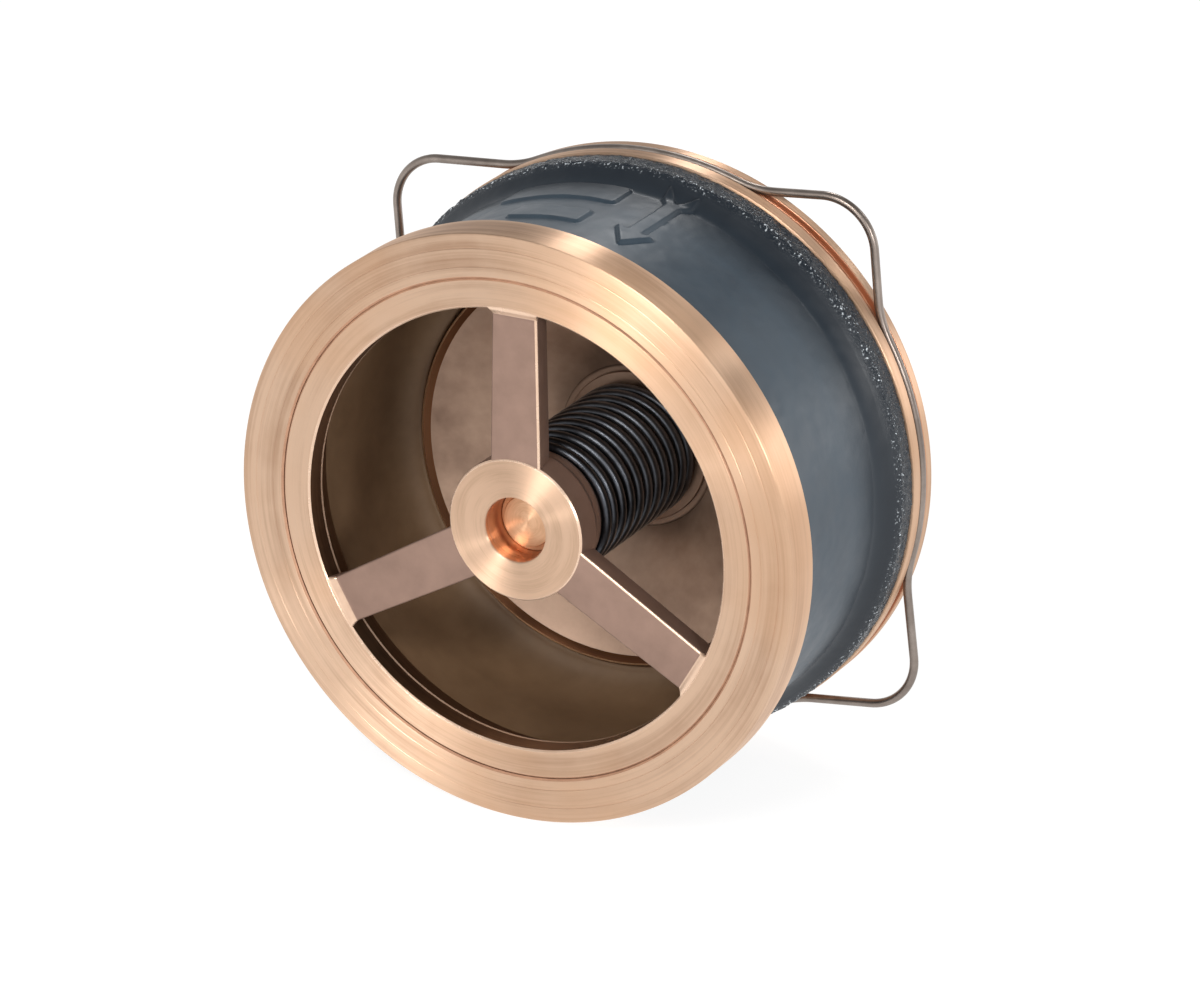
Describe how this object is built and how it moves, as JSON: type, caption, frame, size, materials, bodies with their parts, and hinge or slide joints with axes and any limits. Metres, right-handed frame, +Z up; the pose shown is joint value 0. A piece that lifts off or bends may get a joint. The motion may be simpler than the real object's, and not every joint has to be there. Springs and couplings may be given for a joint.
{
  "type": "wafer check valve",
  "caption": "Spring-closed disc check valve that is clamped between two pipe flanges, with bronze end rings, a guided stem and a wire centring ring.",
  "frame": {"origin": "centre of the inlet sealing face, on the flow axis", "axes": "Y is the flow axis: the inlet face looks towards +Y and the water flows towards -Y, out of the outlet face. Z is up, with one arm of the guide pointing straight up. X is to the right, seen from the outlet side."},
  "size_m": [0.2749, 0.14, 0.274],
  "materials": {
    "casting_paint": "semi-gloss",
    "machined_bronze": "turned",
    "cast_bronze": "as cast, machined rim and hub",
    "bush_bronze": "bored",
    "disc_bronze": "as cast",
    "stem_bronze": "turned",
    "gasket": "matte",
    "nut_steel": "machined",
    "plate_bronze": "turned",
    "spring_steel": "drawn wire",
    "wire_steel": "drawn wire"
  },
  "bodies": {
    "valve_body": {"body_casting": "casting_paint", "seat_ring": "machined_bronze", "seat_ring_gasket": "gasket", "outlet_ring": "machined_bronze", "outlet_ring_gasket": "gasket", "guide_spider": "cast_bronze", "guide_bush": "bush_bronze", "spring": "spring_steel"},
    "disc_assembly": {"disc": "disc_bronze", "stem": "stem_bronze", "stem_nut": "nut_steel", "spring_plate": "plate_bronze"},
    "wire_ring": {"centring_wire": "wire_steel"}
  },
  "joints": [
    {"name": "disc_lift", "type": "slide", "parent": "valve_body", "child": "disc_assembly", "axis": [0, -1, 0], "range_m": [0, 0.022], "stiffness_N_per_m": 2800, "springref_m": -0.017, "deforming": ["spring"]},
    {"name": "centring_wire_turn", "type": "hinge", "parent": "valve_body", "child": "wire_ring", "pos_m": [0, -0.0086, 0], "axis": [0, 1, 0], "continuous": true}
  ]
}
